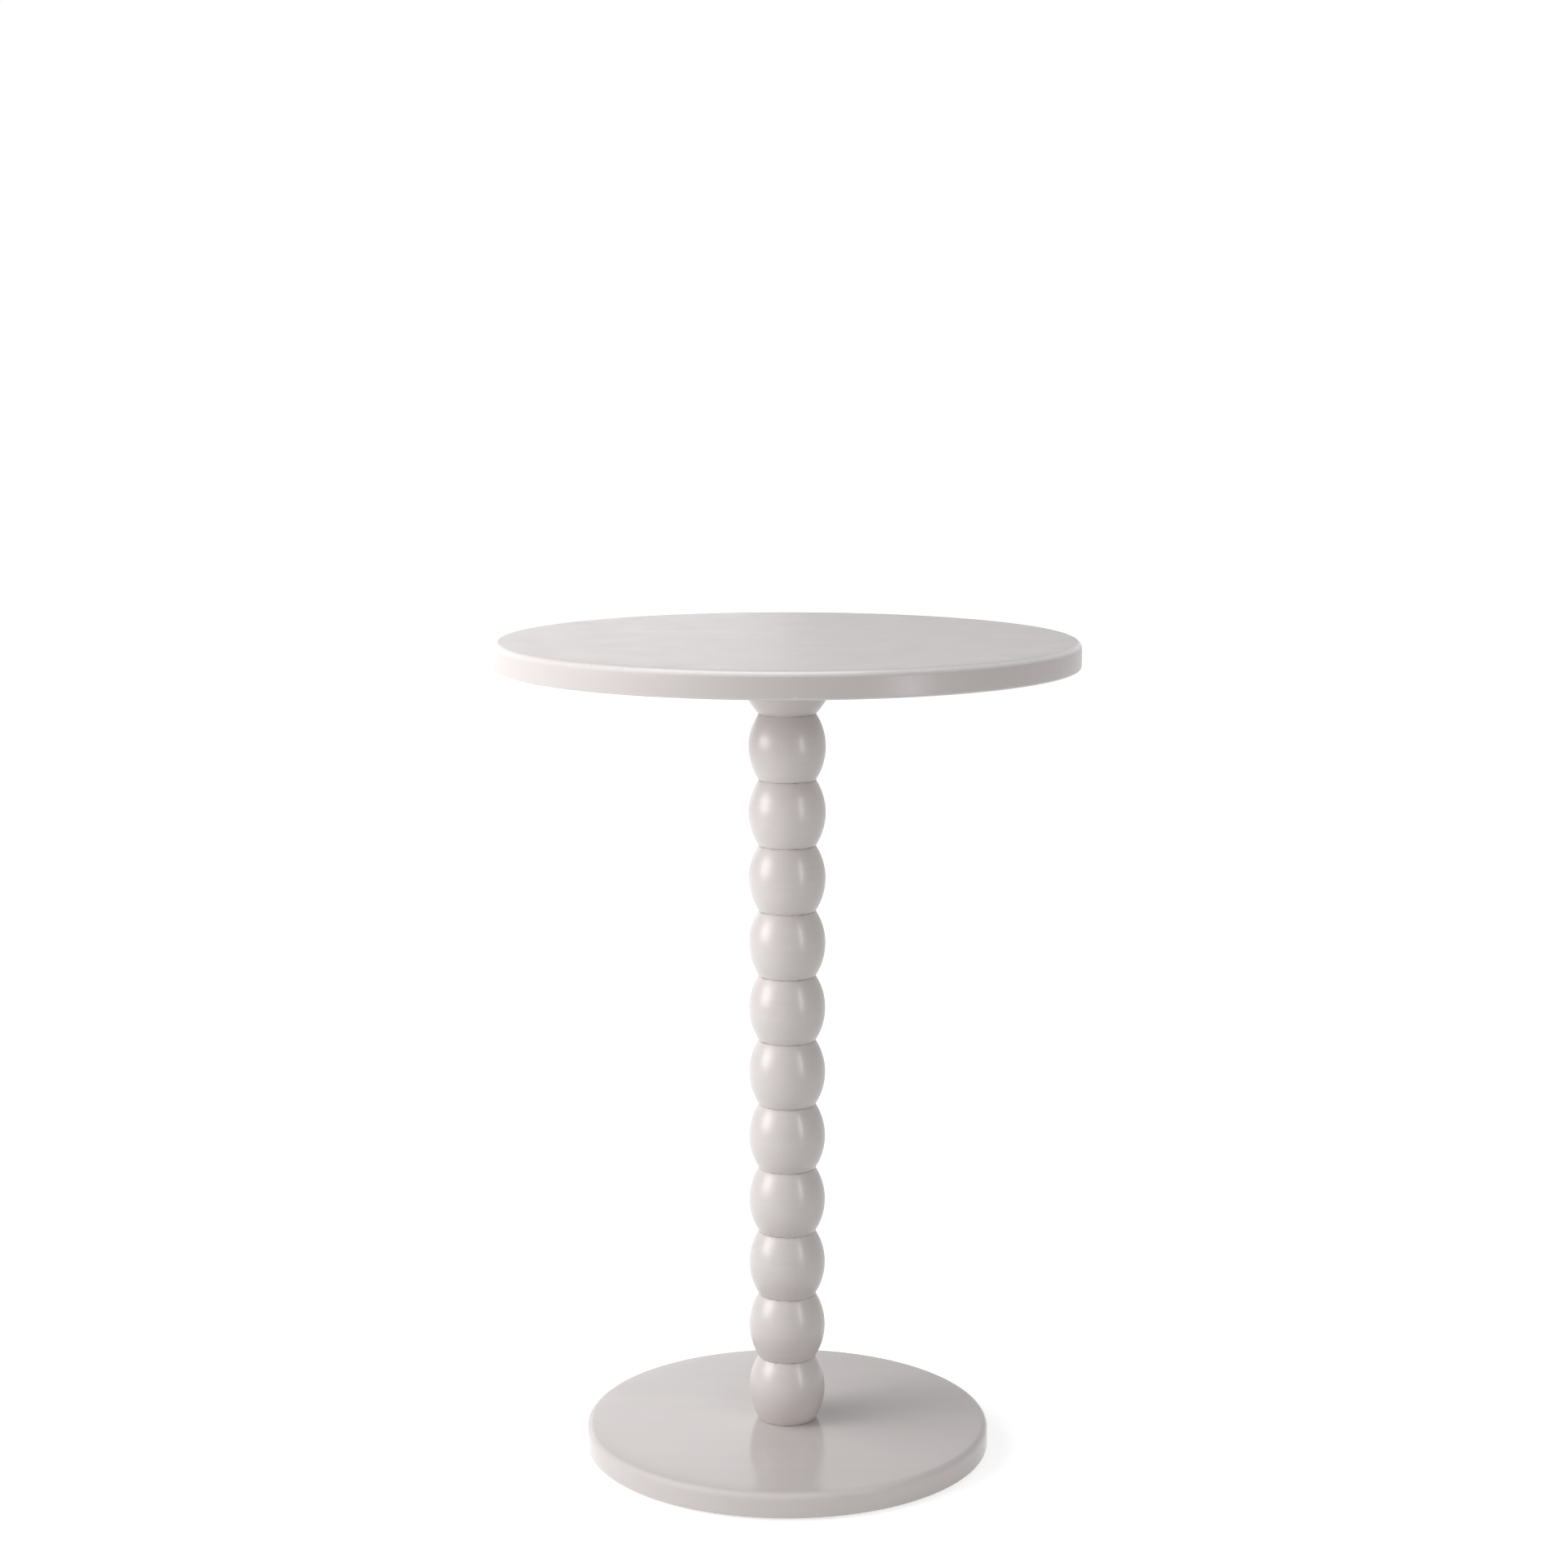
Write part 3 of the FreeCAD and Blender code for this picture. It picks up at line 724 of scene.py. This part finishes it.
def make_floor():
    """A white floor that keeps the table's shadow and fades to plain white further off."""
    bpy.ops.mesh.primitive_circle_add(vertices=FLOOR_SEGMENTS, radius=FLOOR_RADIUS, fill_type="NGON")
    floor = bpy.context.object
    floor.name = "floor"
    graph = Graph("white_floor")
    tree = graph.tree
    graph.set(Base_Color=FLOOR_WHITE, Roughness=0.9, Specular_IOR_Level=0.0)
    distance = graph.add("ShaderNodeVectorMath", {0: graph.place}, operation="LENGTH").outputs["Value"]
    glow = graph.remap(distance, FLOOR_NEAR, FLOOR_FAR, FLOOR_GLOW_NEAR, FLOOR_GLOW_FAR)
    shown = graph.add("ShaderNodeMath", {0: glow, 1: seen_by_eye(tree)}, operation="MULTIPLY").outputs[0]
    graph.set(Emission_Color=(1, 1, 1, 1), Emission_Strength=shown)
    facing = graph.add("ShaderNodeNewGeometry").outputs["Backfacing"]
    clear = graph.add("ShaderNodeBsdfTransparent")
    choose = graph.add("ShaderNodeMixShader", {0: facing, 1: graph.surface.outputs[0], 2: clear.outputs[0]})
    tree.links.new(choose.outputs[0], tree.nodes["Material Output"].inputs["Surface"])
    graph.material.cycles.emission_sampling = "NONE"
    floor.data.materials.append(graph.material)


# Points that the lamps face.
STEM_MIDDLE = (0.0, 0.0, 0.25)
BASE_MIDDLE = (-0.05, 0.0, 0.02)
BASE_FRONT = (0.05, -0.1, 0.01)
TOP_FRONT = (-0.17, -0.15, 0.5)
STRAIGHT_AHEAD = (-0.95, 0.0, 0.6)
# The role of a lamp: it lights the table and is mirrored in the paint, it only lights the table, or it is
# only mirrored, in the stem, the top or the base. The boards would turn white in views from the right and
# from behind if they mirrored the strongest lamps.
FULL, SOFT, ON_STEM, ON_TOP, ON_BASE = "full", "soft", "on_stem", "on_top", "on_base"
# Soft boxes round the table: name, place, what it faces, width and height, power in watts, and role.
LAMPS = [
    ("key_highlight", (-1.42, -0.44, 0.74), STEM_MIDDLE, (0.9, 0.85), 12.7, ON_STEM),
    ("key", (-1.42, -0.46, 0.74), STEM_MIDDLE, (0.6, 0.75), 4.6, SOFT),
    ("key_wide", (-1.36, -0.56, 0.74), STEM_MIDDLE, (1.5, 0.75), 11.6, SOFT),
    ("left_panel", (-1.0, 0.0, 1.1), STEM_MIDDLE, (1.2, 0.6), 5.9, SOFT),
    ("left_rear", (-0.95, 1.95, 0.85), BASE_MIDDLE, (1.9, 0.55), 0.45, FULL),
    ("rear_wall", (-0.95, 1.95, 0.6), STRAIGHT_AHEAD, (1.9, 0.5), 2.05, FULL),
    ("overhead", (-0.17, -0.2, 1.3), TOP_FRONT, (0.9, 0.6), 1.1, FULL),
    ("stem_strip", (1.18, -1.22, 0.72), STEM_MIDDLE, (0.1, 1.16), 10.0, ON_STEM),
    ("rim_strip", (1.18, -1.22, 0.29), STEM_MIDDLE, (0.1, 0.34), 3.2, ON_TOP),
    ("base_strip", (1.18, -1.22, 0.72), STEM_MIDDLE, (0.1, 1.16), 1.3, ON_BASE),
    ("right_fill", (1.18, -1.22, 0.8), STEM_MIDDLE, (1.6, 1.0), 7.7, SOFT),
    ("floor_bounce", (0.36, -0.39, 0.03), BASE_FRONT, (0.5, 0.04), 0.17, SOFT),
]


def make_lamps(mirroring):
    """Sets up the lamps. mirroring gives the pieces that show a lamp for each role that is only mirrored."""
    shown_in = {}
    for role, pieces in mirroring.items():
        shown_in[role] = bpy.data.collections.new(role)
        for piece in pieces:
            shown_in[role].objects.link(piece)
    for name, place, aim, size, power, role in LAMPS:
        lamp = bpy.data.objects.new(name, bpy.data.lights.new(name, "AREA"))
        lamp.data.shape = "RECTANGLE"
        lamp.data.size, lamp.data.size_y = size
        lamp.data.energy = power
        lamp.location = place
        lamp.rotation_euler = (Vector(place) - Vector(aim)).to_track_quat("Z", "Y").to_euler()
        lamp.visible_camera = False
        lamp.visible_glossy = role != SOFT
        lamp.visible_diffuse = role not in shown_in
        if role in shown_in:
            lamp.light_linking.receiver_collection = shown_in[role]
        bpy.context.scene.collection.objects.link(lamp)


BEAD_COUNT = 11
BEAD_SEED = 17.3
PAD_COUNT = 4
PAD_SEED = 31.7
turned = [make_bead(f"bead_{number:02d}", number * BEAD_SEED) for number in range(1, BEAD_COUNT + 1)]
turned.append(make_collar())
table_top = make_table_top()
base = make_base()
make_washer()
make_lock_washer()
make_nut()
make_rod()
for number in range(1, PAD_COUNT + 1):
    make_felt_pad(f"felt_pad_{number}", number * PAD_SEED)
finish_solids()
make_camera()
make_world()
make_floor()
make_lamps({ON_STEM: turned, ON_TOP: [table_top], ON_BASE: [base]})

bpy.context.scene.view_settings.view_transform = "Standard"
